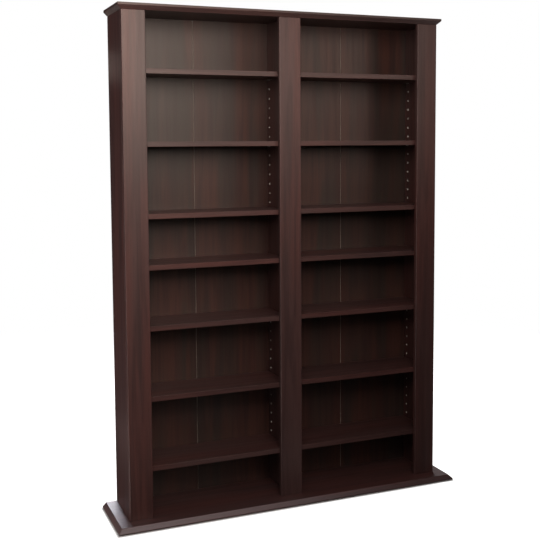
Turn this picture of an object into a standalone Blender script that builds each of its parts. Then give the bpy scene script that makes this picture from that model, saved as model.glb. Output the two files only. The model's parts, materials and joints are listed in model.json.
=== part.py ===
"""Media storage shelf: columns of shelves between wide stiles, on a bevelled base, under a bevelled top.

Flat boards of foil-faced chipboard, joined with dowels and screws, with a thin hardboard back in grooves.
Units are metres, +Z is up and the open front faces -Y. The origin is on the floor, under the middle of the
overall box.
"""
import math

import bmesh
import bpy
from mathutils import Matrix, Vector

# Carcass: the uprights stand between the base board and the top board
CARCASS_WIDTH = 1.104
UPRIGHT_HEIGHT = 1.580
UPRIGHT_DEPTH = 0.171
BOARD_THICKNESS = 0.016

# Facing stiles on the front edges of the uprights
STILE_WIDTH = 0.075
STILE_THICKNESS = 0.016
STILE_EDGE_RADIUS = 0.0015

# Base board
BASE_THICKNESS = 0.016
BASE_SIDE_OVERHANG = 0.048
BASE_FRONT_OVERHANG = 0.055
BASE_BEVEL = 0.0125

# Top board
TOP_THICKNESS = 0.019
TOP_OVERHANG = 0.012
TOP_BEVEL = 0.012

# Shelves: the fixed one's height is over the base board, the loose ones stand on pins
FIXED_SHELF_HEIGHT = 0.800
SHELF_SETBACK = 0.001
SHELF_END_CLEARANCE = 0.001
SHELF_BACK_CLEARANCE = 0.001
SHELVES_PER_BANK = 3

# Pin holes: one bank under the fixed shelf and one above it, each with a front and a rear row
HOLE_PITCH = 0.032
FIRST_HOLE_RISE = 0.1437
LAST_HOLE_DROP = 0.180
FRONT_ROW_INSET = 0.037
REAR_ROW_INSET = 0.028
PIN_RADIUS = 0.0024
PIN_PROJECTION = 0.008
PIN_HOLE_SKIN = 0.006

# Back: hardboard leaves in grooves, taped together at the middle of each column
BACK_THICKNESS = 0.003
BACK_INSET = 0.006
GROOVE_DEPTH = 0.005
GROOVE_END_CLEARANCE = 0.0005
TAPE_WIDTH = 0.040
TAPE_THICKNESS = 0.0005
TAPE_END_INSET = 0.004

# Dowels, and screws through the base board. The skin is the wood left under a hole in a board's face
DOWEL_RADIUS = 0.004
DOWEL_LENGTH = 0.030
PARTITION_DOWEL_BITE = 0.020
DRILL_SKIN = 0.005
DRILL_END_CLEARANCE = 0.0005
SCREW_RADIUS = 0.002
SCREW_HEAD_RADIUS = 0.004
SCREW_HEAD_RIM = 0.0005
SCREW_HEAD_HEIGHT = 0.003
SCREW_LENGTH = 0.045
SCREW_POINT = 0.004
SCREW_RECESS = 0.0005
SCREW_ROW_INSET = 0.040

# Glides under the base board
GLIDE_RADIUS = 0.011
GLIDE_HEIGHT = 0.0027
GLIDE_FRONT_INSET = 0.030
GLIDE_REAR_INSET = 0.015
GLIDE_END_INSET = 0.045

# Gap between solids that touch, and how far a cutter starts outside the face it cuts
JOINT_GAP = 0.0003
CUT_START = 0.001

# Sides of the round pieces
PEG_SIDES = 8
GLIDE_SIDES = 16
SMOOTH_BELOW = math.radians(50)

# Depths, from the base board's front edge to the rear plane that all rear edges share
TOTAL_DEPTH = BASE_FRONT_OVERHANG + STILE_THICKNESS + JOINT_GAP + UPRIGHT_DEPTH
Y_REAR = TOTAL_DEPTH / 2
Y_BASE_FRONT = -Y_REAR
Y_STILE_FRONT = Y_BASE_FRONT + BASE_FRONT_OVERHANG
Y_STILE_BACK = Y_STILE_FRONT + STILE_THICKNESS
Y_UPRIGHT_FRONT = Y_STILE_BACK + JOINT_GAP
Y_BACK_REAR = Y_REAR - BACK_INSET
Y_BACK_FRONT = Y_BACK_REAR - BACK_THICKNESS
Y_SHELF_FRONT = Y_UPRIGHT_FRONT + SHELF_SETBACK
Y_SHELF_REAR = Y_BACK_FRONT - SHELF_BACK_CLEARANCE
Y_ROWS = {"front": Y_UPRIGHT_FRONT + FRONT_ROW_INSET, "rear": Y_REAR - REAR_ROW_INSET}
Y_SCREWS = {"front": Y_UPRIGHT_FRONT + SCREW_ROW_INSET, "rear": Y_REAR - SCREW_ROW_INSET}

# Heights
Z_BASE_BOTTOM = GLIDE_HEIGHT + JOINT_GAP
Z_BASE_TOP = Z_BASE_BOTTOM + BASE_THICKNESS
Z_UPRIGHT_BOTTOM = Z_BASE_TOP + JOINT_GAP
Z_UPRIGHT_TOP = Z_UPRIGHT_BOTTOM + UPRIGHT_HEIGHT
Z_TOP_BOTTOM = Z_UPRIGHT_TOP + JOINT_GAP
Z_TOP = Z_TOP_BOTTOM + TOP_THICKNESS
Z_FIXED_TOP = Z_BASE_TOP + FIXED_SHELF_HEIGHT
Z_FIXED_BOTTOM = Z_FIXED_TOP - BOARD_THICKNESS

# Widths
X_CARCASS = CARCASS_WIDTH / 2
X_BASE = X_CARCASS + BASE_SIDE_OVERHANG
X_TOP = X_CARCASS + TOP_OVERHANG
UPRIGHTS = {"left": "left_side_panel", "centre": "centre_partition", "right": "right_side_panel"}
UPRIGHT_X = {
    "left": -X_CARCASS + BOARD_THICKNESS / 2,
    "centre": 0.0,
    "right": X_CARCASS - BOARD_THICKNESS / 2,
}
STILE_X = {"left": -X_CARCASS + STILE_WIDTH / 2, "centre": 0.0, "right": X_CARCASS - STILE_WIDTH / 2}
# The inner faces of each column's two uprights
COLUMNS = {
    "left": (UPRIGHT_X["left"] + BOARD_THICKNESS / 2, UPRIGHT_X["centre"] - BOARD_THICKNESS / 2),
    "right": (UPRIGHT_X["centre"] + BOARD_THICKNESS / 2, UPRIGHT_X["right"] - BOARD_THICKNESS / 2),
}


def clear_scene():
    """Removes everything that the file holds at the start."""
    for item in list(bpy.data.objects):
        bpy.data.objects.remove(item, do_unlink=True)


def new_collection(name):
    group = bpy.data.collections.new(name)
    bpy.context.scene.collection.children.link(group)
    return group


def principled(name, colour, roughness, metallic=0.0):
    """Makes a plain material with the part's own colour."""
    material = bpy.data.materials.new(name)
    material.use_nodes = True
    shader = material.node_tree.nodes["Principled BSDF"]
    shader.inputs["Base Color"].default_value = (*colour, 1.0)
    shader.inputs["Roughness"].default_value = roughness
    shader.inputs["Metallic"].default_value = metallic
    return material


def add_box(shape, low, high):
    """Adds a box between two opposite corners."""
    size = Vector(high) - Vector(low)
    middle = (Vector(high) + Vector(low)) / 2
    place = Matrix.Translation(middle) @ Matrix.Diagonal((*size, 1.0))
    bmesh.ops.create_cube(shape, size=1.0, matrix=place)


def aimed(start, end):
    """Turns +Z from the first point towards the second, with its origin at the first."""
    direction = Vector(end) - Vector(start)
    turn = direction.to_track_quat("Z", "Y").to_matrix().to_4x4()
    return Matrix.Translation(start) @ turn


def add_peg(shape, start, end, radius, sides=PEG_SIDES):
    """Adds a round bar between two points. A level bar has a flat side on top."""
    length = (Vector(end) - Vector(start)).length
    flat_up = Matrix.Rotation(math.pi / sides, 4, "Z")
    place = aimed(start, end) @ Matrix.Translation((0, 0, length / 2)) @ flat_up
    return bmesh.ops.create_cone(shape, cap_ends=True, segments=sides, radius1=radius, radius2=radius,
                                 depth=length, matrix=place)["verts"]


def add_half_peg(shape, start, end, radius):
    """Adds the lower half of a level round bar, with its flat side up at the bar's own axis."""
    corners = add_peg(shape, start, end, radius)
    edges = {edge for corner in corners for edge in corner.link_edges}
    faces = {face for corner in corners for face in corner.link_faces}
    cut = bmesh.ops.bisect_plane(shape, geom=[*corners, *edges, *faces], plane_co=start,
                                 plane_no=(0, 0, 1), clear_outer=True)["geom_cut"]
    rim = [item for item in cut if isinstance(item, bmesh.types.BMEdge)]
    bmesh.ops.edgeloop_fill(shape, edges=rim)


def turned_mesh(name, profile):
    """Turns a profile of (radius, height) points, listed from the top down, about Z."""
    outline = bpy.data.meshes.new(name)
    points = [(radius, 0.0, height) for radius, height in profile]
    outline.from_pydata(points, [(i, i + 1) for i in range(len(points) - 1)], [])
    lathe = bpy.data.objects.new(name, outline)
    bpy.context.scene.collection.objects.link(lathe)
    turn = lathe.modifiers.new("Turn", "SCREW")
    turn.steps = PEG_SIDES
    turn.render_steps = PEG_SIDES
    turn.use_merge_vertices = True
    turn.merge_threshold = 0.0001
    solid = bpy.data.meshes.new_from_object(lathe.evaluated_get(bpy.context.evaluated_depsgraph_get()))
    bpy.data.objects.remove(lathe)
    return solid


def link_part(name, mesh, material):
    """Makes one named part of the shelf from a mesh."""
    if not mesh.materials:
        mesh.materials.append(material)
    part = bpy.data.objects.new(name, mesh)
    part.parent = shelf_origin
    parts.objects.link(part)
    return part


def new_board(name, low, high, material):
    """Makes a flat board between two opposite corners, with its origin at its middle."""
    shape = bmesh.new()
    half = (Vector(high) - Vector(low)) / 2
    add_box(shape, -half, half)
    mesh = bpy.data.meshes.new(name)
    shape.to_mesh(mesh)
    shape.free()
    board = link_part(name, mesh, material)
    board.location = (Vector(low) + Vector(high)) / 2
    return board


def new_peg(name, start, end, radius, material, sides=PEG_SIDES):
    """Makes a round fastening between two points, with its origin at the first and its own Z along it."""
    shape = bmesh.new()
    length = (Vector(end) - Vector(start)).length
    add_peg(shape, (0, 0, 0), (0, 0, length), radius, sides)
    mesh = bpy.data.meshes.new(name)
    shape.to_mesh(mesh)
    shape.free()
    mesh.shade_smooth()
    mesh.set_sharp_from_angle(angle=SMOOTH_BELOW)
    peg = link_part(name, mesh, material)
    peg.matrix_world = aimed(start, end)
    return peg


def bevel_edges(part, width, segments, chosen):
    """Bevels the edges whose two end points, in the part's own coordinates, pass the test."""
    weights = part.data.attributes.new("bevel_weight_edge", "FLOAT", "EDGE")
    for edge in part.data.edges:
        ends = [part.data.vertices[i].co for i in edge.vertices]
        weights.data[edge.index].value = 1.0 if chosen(*ends) else 0.0
    bevel = part.modifiers.new("Edge", "BEVEL")
    bevel.limit_method = "WEIGHT"
    bevel.width = width
    bevel.segments = segments


# What is cut from and added to each board, collected by board and by step of the work, in the order of steps
STEPS = ("grooves", "holes", "pins")
tools = {}


def tool_shape(board, step):
    """Gives the shape that collects one step's work on one board."""
    return tools.setdefault((board, step), bmesh.new())


def work_boards():
    """Turns the collected shapes into hidden helpers and hangs them on their boards, step by step."""
    for board, step in sorted(tools, key=lambda work: STEPS.index(work[1])):
        shape = tools[board, step]
        mesh = bpy.data.meshes.new(f"{board}_{step}")
        shape.to_mesh(mesh)
        shape.free()
        helper = bpy.data.objects.new(mesh.name, mesh)
        helper.hide_render = True
        helper.display_type = "WIRE"
        cutters.objects.link(helper)
        work = bpy.data.objects[board].modifiers.new(step, "BOOLEAN")
        work.operation = "UNION" if step == "pins" else "DIFFERENCE"
        work.solver = "EXACT"
        work.object = helper


def hole_heights(bank_floor, bank_ceiling):
    """Gives the heights of one bank's pin holes, as many as the bank has room for."""
    room = bank_ceiling - bank_floor - FIRST_HOLE_RISE - LAST_HOLE_DROP
    count = 1 + int(room / HOLE_PITCH)
    return [bank_floor + FIRST_HOLE_RISE + i * HOLE_PITCH for i in range(count)]


def shelf_seats(heights):
    """Picks the holes that carry the loose shelves: the first, the last and those evenly between."""
    steps = SHELVES_PER_BANK - 1
    return [heights[round(k * (len(heights) - 1) / steps)] for k in range(SHELVES_PER_BANK)]


LOWER_BANK = hole_heights(Z_BASE_TOP, Z_FIXED_BOTTOM)
UPPER_BANK = hole_heights(Z_FIXED_TOP, Z_TOP_BOTTOM)

# Pin heights of the loose shelves by shelf number, counted from the top; the fixed shelf is the one between
SEATS = dict(enumerate(reversed(shelf_seats(UPPER_BANK)), start=1))
SEATS.update(enumerate(reversed(shelf_seats(LOWER_BANK)), start=SHELVES_PER_BANK + 2))


def make_base_board():
    """The base board, bevelled along its upper front and end edges and grooved for the back."""
    board = new_board("base_board", (-X_BASE, Y_BASE_FRONT, Z_BASE_BOTTOM),
                      (X_BASE, Y_REAR, Z_BASE_TOP), foil)
    rear, top = Y_REAR - board.location.y, Z_BASE_TOP - board.location.z

    def upper_front_or_end(a, b):
        return min(a.z, b.z) > top - JOINT_GAP and min(a.y, b.y) < rear - JOINT_GAP

    bevel_edges(board, BASE_BEVEL, 1, upper_front_or_end)


def make_top_board():
    """The top board, bevelled along its lower front and end edges and grooved for the back."""
    board = new_board("top_board", (-X_TOP, Y_STILE_FRONT - TOP_OVERHANG, Z_TOP_BOTTOM),
                      (X_TOP, Y_REAR, Z_TOP), foil)
    rear, bottom = Y_REAR - board.location.y, Z_TOP_BOTTOM - board.location.z

    def lower_front_or_end(a, b):
        return max(a.z, b.z) < bottom + JOINT_GAP and min(a.y, b.y) < rear - JOINT_GAP

    bevel_edges(board, TOP_BEVEL, 1, lower_front_or_end)


def make_uprights():
    """The side panels and the partition."""
    half = BOARD_THICKNESS / 2
    for place, name in UPRIGHTS.items():
        x = UPRIGHT_X[place]
        new_board(name, (x - half, Y_UPRIGHT_FRONT, Z_UPRIGHT_BOTTOM),
                  (x + half, Y_REAR, Z_UPRIGHT_TOP), foil)


def make_pins_and_holes():
    """The shelf pins, seated in the uprights, and the rows of empty pin holes above and below them.

    Holes are blind in the side panels and go through the partition, where one bar makes the pins of both
    columns. A pin is half round, with its flat side up under the shelf, and is one solid with its upright.
    """
    half = BOARD_THICKNESS / 2
    for place, name in UPRIGHTS.items():
        x = UPRIGHT_X[place]
        # The open side or sides of this upright: -1 is its left face, +1 its right face
        sides = {"left": (1,), "centre": (-1, 1), "right": (-1,)}[place]
        face = x + sides[0] * half
        if len(sides) == 2:
            pin_end = x - sides[0] * (half + PIN_PROJECTION)
            hole_end = x - sides[0] * (half + CUT_START)
        else:
            pin_end = x
            hole_end = face - sides[0] * (BOARD_THICKNESS - PIN_HOLE_SKIN)
        pin_start = face + sides[0] * PIN_PROJECTION
        hole_start = face + sides[0] * CUT_START
        for y in Y_ROWS.values():
            for z in LOWER_BANK + UPPER_BANK:
                if z in SEATS.values():
                    add_half_peg(tool_shape(name, "pins"), (pin_start, y, z), (pin_end, y, z), PIN_RADIUS)
                else:
                    add_peg(tool_shape(name, "holes"), (hole_start, y, z), (hole_end, y, z),
                            PIN_RADIUS + JOINT_GAP)


def make_stiles():
    """The facing boards, with softly rounded edges."""
    half = STILE_WIDTH / 2
    for place, x in STILE_X.items():
        board = new_board(f"{place}_stile", (x - half, Y_STILE_FRONT, Z_UPRIGHT_BOTTOM),
                          (x + half, Y_STILE_BACK, Z_UPRIGHT_TOP), foil)
        bevel_edges(board, STILE_EDGE_RADIUS, 2, lambda a, b: True)


def make_shelves():
    """The fixed shelf of each column, between its uprights, and the loose shelves on their pins."""
    for column, (left, right) in COLUMNS.items():
        new_board(f"{column}_fixed_shelf", (left + JOINT_GAP, Y_SHELF_FRONT, Z_FIXED_BOTTOM),
                  (right - JOINT_GAP, Y_SHELF_REAR, Z_FIXED_TOP), foil)
        for number, seat in SEATS.items():
            underside = seat + JOINT_GAP
            new_board(f"{column}_shelf_{number}", (left + SHELF_END_CLEARANCE, Y_SHELF_FRONT, underside),
                      (right - SHELF_END_CLEARANCE, Y_SHELF_REAR, underside + BOARD_THICKNESS), foil)


def make_grooves():
    """The grooves that hold the back: down each inner face, and along the base board and the top board."""
    front, rear = Y_BACK_FRONT - JOINT_GAP, Y_BACK_REAR + JOINT_GAP
    for column, (left, right) in COLUMNS.items():
        for board, low, high in ((UPRIGHTS["left" if column == "left" else "centre"],
                                  left - GROOVE_DEPTH, left + CUT_START),
                                 (UPRIGHTS["right" if column == "right" else "centre"],
                                  right - CUT_START, right + GROOVE_DEPTH)):
            add_box(tool_shape(board, "grooves"), (low, front, Z_UPRIGHT_BOTTOM - CUT_START),
                    (high, rear, Z_UPRIGHT_TOP + CUT_START))
        start, end = left - GROOVE_DEPTH, right + GROOVE_DEPTH
        add_box(tool_shape("base_board", "grooves"), (start, front, Z_BASE_TOP - GROOVE_DEPTH),
                (end, rear, Z_BASE_TOP + CUT_START))
        add_box(tool_shape("top_board", "grooves"), (start, front, Z_TOP_BOTTOM - CUT_START),
                (end, rear, Z_TOP_BOTTOM + GROOVE_DEPTH))


def make_back():
    """The two hardboard leaves behind each column, and the tape over their joint."""
    hidden = GROOVE_DEPTH - GROOVE_END_CLEARANCE
    bottom, top = Z_BASE_TOP - hidden, Z_TOP_BOTTOM + hidden
    tape_front = Y_BACK_REAR + JOINT_GAP
    for column, (left, right) in COLUMNS.items():
        joint = (left + right) / 2
        for side, start, end in (("left", left - hidden, joint - JOINT_GAP / 2),
                                 ("right", joint + JOINT_GAP / 2, right + hidden)):
            place = "outer" if side == column else "inner"
            new_board(f"{column}_back_{place}_leaf", (start, Y_BACK_FRONT, bottom), (end, Y_BACK_REAR, top),
                      hardboard)
        new_board(f"{column}_back_tape",
                  (joint - TAPE_WIDTH / 2, tape_front, Z_UPRIGHT_BOTTOM + TAPE_END_INSET),
                  (joint + TAPE_WIDTH / 2, tape_front + TAPE_THICKNESS, Z_UPRIGHT_TOP - TAPE_END_INSET), tape)


def add_dowel(name, face_board, face, into, thickness, edge_board):
    """Makes a dowel between one board's face and another's edge, and drills both.

    The face point is where the dowel leaves the first board, and into points from it to the second.
    """
    drilled = thickness - DRILL_SKIN
    start = face - into * (drilled - DRILL_END_CLEARANCE)
    end = start + into * DOWEL_LENGTH
    new_peg(name, start, end, DOWEL_RADIUS, beech)
    bore_radius = DOWEL_RADIUS + JOINT_GAP
    add_peg(tool_shape(face_board, "holes"), face - into * drilled, face + into * CUT_START, bore_radius)
    add_peg(tool_shape(edge_board, "holes"), face - into * CUT_START, end + into * DRILL_END_CLEARANCE,
            bore_radius)


def make_dowels():
    """Dowels that place the stiles and the top board on the uprights, and the fixed shelves between them."""
    heights = {"lower": (Z_BASE_TOP + Z_FIXED_BOTTOM) / 2, "upper": (Z_FIXED_TOP + Z_TOP_BOTTOM) / 2}
    for place, upright in UPRIGHTS.items():
        x = UPRIGHT_X[place]
        for level, z in heights.items():
            add_dowel(f"{place}_stile_dowel_{level}", f"{place}_stile", Vector((x, Y_STILE_BACK, z)),
                      Vector((0, 1, 0)), STILE_THICKNESS, upright)
        for row, y in Y_ROWS.items():
            add_dowel(f"{place}_top_dowel_{row}", "top_board", Vector((x, y, Z_TOP_BOTTOM)),
                      Vector((0, 0, -1)), TOP_THICKNESS, upright)
    z = (Z_FIXED_BOTTOM + Z_FIXED_TOP) / 2
    for row, y in Y_ROWS.items():
        for side, face in (("left", COLUMNS["left"][0]), ("right", COLUMNS["right"][1])):
            inward = Vector((1 if side == "left" else -1, 0, 0))
            add_dowel(f"{side}_fixed_shelf_dowel_{row}", UPRIGHTS[side], Vector((face, y, z)), inward,
                      BOARD_THICKNESS, f"{side}_fixed_shelf")
        make_partition_dowel(row, y, z)


def make_partition_dowel(row, y, z):
    """A long dowel through the partition, which enters the fixed shelf of each column."""
    reach = UPRIGHT_X["centre"] + BOARD_THICKNESS / 2 + PARTITION_DOWEL_BITE
    bore_radius = DOWEL_RADIUS + JOINT_GAP
    new_peg(f"centre_fixed_shelf_dowel_{row}", (-reach, y, z), (reach, y, z), DOWEL_RADIUS, beech)
    bore_end = reach + DRILL_END_CLEARANCE
    for board in (UPRIGHTS["centre"], "left_fixed_shelf", "right_fixed_shelf"):
        add_peg(tool_shape(board, "holes"), (-bore_end, y, z), (bore_end, y, z), bore_radius)


def screw_profile(gap, start):
    """The screw's half outline from its point down to its head, made larger all round by a gap."""
    return ((0.0, SCREW_LENGTH + gap), (SCREW_RADIUS + gap, SCREW_LENGTH - SCREW_POINT + gap),
            (SCREW_RADIUS + gap, SCREW_HEAD_HEIGHT), (SCREW_HEAD_RADIUS + gap, SCREW_HEAD_RIM),
            (SCREW_HEAD_RADIUS + gap, start), (0.0, start))


def make_base_screws():
    """Countersunk screws driven up through the base board into the uprights."""
    screw = turned_mesh("screw", screw_profile(0.0, 0.0))
    screw.shade_smooth()
    screw.set_sharp_from_angle(angle=SMOOTH_BELOW)
    hole = turned_mesh("screw_hole", screw_profile(JOINT_GAP, -SCREW_RECESS - CUT_START))
    for place, upright in UPRIGHTS.items():
        for row, y in Y_SCREWS.items():
            spot = Matrix.Translation((UPRIGHT_X[place], y, Z_BASE_BOTTOM + SCREW_RECESS))
            link_part(f"{place}_base_screw_{row}", screw, steel).matrix_world = spot
            for board in ("base_board", upright):
                cut = hole.copy()
                cut.transform(spot)
                tool_shape(board, "holes").from_mesh(cut)
                bpy.data.meshes.remove(cut)
    bpy.data.meshes.remove(hole)


def make_glides():
    """Plastic pads in two rows under the base board."""
    reach = X_BASE - GLIDE_END_INSET
    for place, x in (("left", -reach), ("centre", 0.0), ("right", reach)):
        for row, y in (("front", Y_BASE_FRONT + GLIDE_FRONT_INSET), ("rear", Y_REAR - GLIDE_REAR_INSET)):
            new_peg(f"{place}_glide_{row}", (x, y, 0.0), (x, y, GLIDE_HEIGHT), GLIDE_RADIUS, black_plastic,
                    GLIDE_SIDES)


clear_scene()
parts = new_collection("media_storage_shelf")
cutters = new_collection("cutters")
shelf_origin = bpy.data.objects.new("shelf_origin", None)
parts.objects.link(shelf_origin)

foil = principled("dark_wood_foil", (0.050, 0.021, 0.019), 0.42)
hardboard = principled("foil_faced_hardboard", (0.040, 0.019, 0.017), 0.55)
steel = principled("bright_zinc_plated_steel", (0.55, 0.55, 0.53), 0.35, 1.0)
beech = principled("beech", (0.58, 0.40, 0.24), 0.65)
tape = principled("brown_tape", (0.12, 0.07, 0.045), 0.5)
black_plastic = principled("black_plastic", (0.012, 0.012, 0.012), 0.5)

make_base_board()
make_top_board()
make_uprights()
make_pins_and_holes()
make_stiles()
make_shelves()
make_grooves()
make_back()
make_dowels()
make_base_screws()
make_glides()
work_boards()
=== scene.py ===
"""Media storage shelf: the finished boards, fittings and back, and a plain studio round them.

The sections follow the shelf as it is put together, from the base board up. Lengths are in metres, +Z is up
and the open front faces -Y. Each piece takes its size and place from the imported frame.
"""
import json
import math

import bmesh
import bpy
import numpy as np
from mathutils import Matrix, Vector


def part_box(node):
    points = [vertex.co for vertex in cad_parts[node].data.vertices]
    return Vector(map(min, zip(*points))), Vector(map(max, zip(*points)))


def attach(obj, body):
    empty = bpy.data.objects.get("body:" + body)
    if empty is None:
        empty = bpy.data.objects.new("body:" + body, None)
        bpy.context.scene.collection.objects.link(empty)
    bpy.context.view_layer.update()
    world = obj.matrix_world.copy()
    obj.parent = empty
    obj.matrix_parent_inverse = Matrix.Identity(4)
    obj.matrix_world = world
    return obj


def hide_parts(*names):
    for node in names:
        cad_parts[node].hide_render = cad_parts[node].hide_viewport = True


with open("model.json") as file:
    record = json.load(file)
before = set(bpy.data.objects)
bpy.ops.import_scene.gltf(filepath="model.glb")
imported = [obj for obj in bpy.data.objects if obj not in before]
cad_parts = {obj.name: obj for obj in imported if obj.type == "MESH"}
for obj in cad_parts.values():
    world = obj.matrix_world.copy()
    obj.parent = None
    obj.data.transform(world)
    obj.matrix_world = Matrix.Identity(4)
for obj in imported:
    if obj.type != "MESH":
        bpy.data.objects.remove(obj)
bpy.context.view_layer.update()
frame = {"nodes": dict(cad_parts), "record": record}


# Base board
# The widest and deepest board, 16 mm chipboard wrapped in dark wood-grain foil, which carries all the rest.
# A broad bevel is milled along its upper front and end edges; its rear edge stays raw.
BASE_LIP = 0.0035
WRAPPED_ROUNDING = 0.0008
CORNER_ROUNDING = 0.0012
FIT = 0.0003
MITRE_RUN = 0.05
SAME_POINT = 1e-6
FACING = 0.7
CREASE = math.radians(55)
GRAIN_ALONG_X = (0.0, math.pi / 2, 0.0)
GRAIN_ALONG_Z = (0.0, 0.0, 0.0)
BODY_OF = {node: body for body, nodes in frame["record"]["behaviour"]["bodies"].items() for node in nodes}


def filleted(points, radius, steps=3):
    """Rounds the inner corners of a broken line.

    At each corner an arc of the given radius touches both runs. It starts short of the corner by the radius
    times the tangent of half the turn, and goes forward by the sine and sideways by one minus the cosine of
    the angle.
    """
    points = np.array(points, float)
    run = np.diff(points, axis=0)
    run /= np.linalg.norm(run, axis=1)[:, None]
    ahead, after = run[:-1], run[1:]
    aside = np.stack([-ahead[:, 1], ahead[:, 0]], axis=1)
    turn = np.arctan2((aside * after).sum(1), (ahead * after).sum(1))
    start = points[1:-1] - ahead * (radius * np.tan(abs(turn) / 2))[:, None]
    angle = abs(turn)[:, None] * np.linspace(0, 1, steps + 1)
    forward = radius * np.sin(angle)
    sideways = radius * (1 - np.cos(angle)) * np.sign(turn)[:, None]
    arcs = start[:, None] + forward[..., None] * ahead[:, None] + sideways[..., None] * aside[:, None]
    return arcs.reshape(-1, 2)


def board_loops(low, high, profile, rounding, steps=4):
    """Carries a profile of (inset, height) round a rectangle with rounded corners, one loop for each point.

    A loop is the board's outline at one height, drawn in by the inset at the front and both ends. At the rear
    it is drawn in only by the edge's own rounding, so that a bevel stays off the rear edge.
    """
    inset, height = np.array(profile, float).T
    to_face = np.minimum(height, high.z - low.z - height)
    sink = np.clip(WRAPPED_ROUNDING - to_face, 0, WRAPPED_ROUNDING)
    rear_inset = WRAPPED_ROUNDING - np.sqrt(WRAPPED_ROUNDING**2 - sink**2)
    angle = (np.linspace(0, math.pi / 2, steps + 1) + np.arange(4)[:, None] * math.pi / 2).ravel()
    right = np.repeat([1, -1, -1, 1], steps + 1)
    rear = np.repeat([1, 1, -1, -1], steps + 1)
    reach = (high.x - low.x) / 2 - inset - rounding
    x = (low.x + high.x) / 2 + right * reach[:, None] + rounding * np.cos(angle)
    y = np.where(rear > 0, high.y - rear_inset[:, None] - rounding, low.y + inset[:, None] + rounding)
    z = np.repeat(low.z + height, len(angle)).reshape(x.shape)
    return np.stack([x, y + rounding * np.sin(angle), z], axis=-1)


def skin(name, loops):
    """Joins neighbouring loops of points with four-sided faces and closes the first and the last loop."""
    rows, around = loops.shape[:2]
    index = np.arange(rows * around).reshape(rows, around)
    beside = np.roll(index, -1, axis=1)
    quads = np.stack([index[:-1], beside[:-1], beside[1:], index[1:]], axis=-1).reshape(-1, 4)
    mesh = bpy.data.meshes.new(name)
    ends = [index[0].tolist(), index[-1].tolist()]
    mesh.from_pydata(loops.reshape(-1, 3).tolist(), [], quads.tolist() + ends)
    shape = bmesh.new()
    shape.from_mesh(mesh)
    bmesh.ops.remove_doubles(shape, verts=shape.verts, dist=SAME_POINT)
    bmesh.ops.recalc_face_normals(shape, faces=shape.faces)
    shape.to_mesh(mesh)
    shape.free()
    return mesh


def plain_board(node, rounding=CORNER_ROUNDING, box=None):
    """A flat board that fills its node's box, or a box that is given, with all its edges softly rounded."""
    low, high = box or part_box(node)
    thickness = high.z - low.z
    edge = filleted([(MITRE_RUN, 0), (0, 0), (0, thickness), (MITRE_RUN, thickness)], WRAPPED_ROUNDING)
    return skin(node, board_loops(low, high, edge, rounding))


def face_index(mesh, index, axis, sign):
    """Gives the faces that look along one axis the material of that index."""
    normals = np.zeros(len(mesh.polygons) * 3)
    mesh.polygons.foreach_get("normal", normals)
    slots = np.zeros(len(mesh.polygons), np.int32)
    mesh.polygons.foreach_get("material_index", slots)
    slots[normals.reshape(-1, 3)[:, axis] * sign > FACING] = index
    mesh.polygons.foreach_set("material_index", slots)


def block(low, high):
    """A box between two corners, as two square loops one above the other."""
    corner = np.array([(0, 0), (1, 0), (1, 1), (0, 1)])
    x = low[0] + corner[:, 0] * (high[0] - low[0])
    y = low[1] + corner[:, 1] * (high[1] - low[1])
    return skin("block", np.stack([np.stack([x, y, np.full(4, z)], axis=-1) for z in (low[2], high[2])]))


def along_axis(flat, axis):
    """Turns loops that are stacked along Z so that they are stacked along another axis."""
    return np.roll(flat, {"x": 1, "y": 2, "z": 0}[axis], axis=-1)


def turned(profile, around, centre=(0.0, 0.0, 0.0), axis="z"):
    """Carries a profile of (radius, height) round an axis: one circle of points for each profile point."""
    radius, height = np.array(profile, float).T
    angle = np.arange(around) * 2 * math.pi / around
    x = radius[:, None] * np.cos(angle)
    y = radius[:, None] * np.sin(angle)
    z = np.repeat(height, around).reshape(x.shape)
    return along_axis(np.stack([x, y, z], axis=-1), axis) + np.array(centre)


def carve(mesh, cutters, index=1):
    """Cuts a list of closed meshes out of a board. The cut faces get the material of the given index."""
    shape = bmesh.new()
    for cutter in cutters:
        shape.from_mesh(cutter)
    for face in shape.faces:
        face.material_index = index
    joined = bpy.data.meshes.new("cutters")
    shape.to_mesh(joined)
    shape.free()
    for part in (mesh, joined):
        while len(part.materials) <= index:
            part.materials.append(None)
    board, tool = bpy.data.objects.new("board", mesh), bpy.data.objects.new("tool", joined)
    for item in (board, tool):
        bpy.context.scene.collection.objects.link(item)
    cut = board.modifiers.new("cut", "BOOLEAN")
    cut.operation, cut.solver, cut.object = "DIFFERENCE", "EXACT", tool
    carved = bpy.data.meshes.new_from_object(board.evaluated_get(bpy.context.evaluated_depsgraph_get()))
    for item in (board, tool):
        bpy.data.objects.remove(item)
    return carved


def finished(node, mesh, slot, *materials):
    """Makes the piece that stands for a node: mesh, shading, materials and the body that it moves with."""
    indices = np.zeros(len(mesh.polygons), np.int32)
    mesh.polygons.foreach_get("material_index", indices)
    mesh.materials.clear()
    for material in materials:
        mesh.materials.append(material)
    mesh.polygons.foreach_set("material_index", indices)
    mesh.shade_smooth()
    mesh.set_sharp_from_angle(angle=CREASE)
    piece = bpy.data.objects.new(f"{node}_finished", mesh)
    bpy.context.scene.collection.objects.link(piece)
    even = piece.modifiers.new("even shading", "WEIGHTED_NORMAL")
    even.keep_sharp = True
    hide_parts(node)
    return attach(piece, BODY_OF[node])


def add_node(tree, kind, sockets=None, **settings):
    """Adds a shader node, sets its options and fills its inputs with values or other nodes' outputs."""
    made = tree.nodes.new(kind)
    for name, value in settings.items():
        setattr(made, name, value)
    for name, value in (sockets or {}).items():
        if isinstance(value, bpy.types.NodeSocket):
            tree.links.new(value, made.inputs[name])
        else:
            made.inputs[name].default_value = value
    return made


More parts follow.
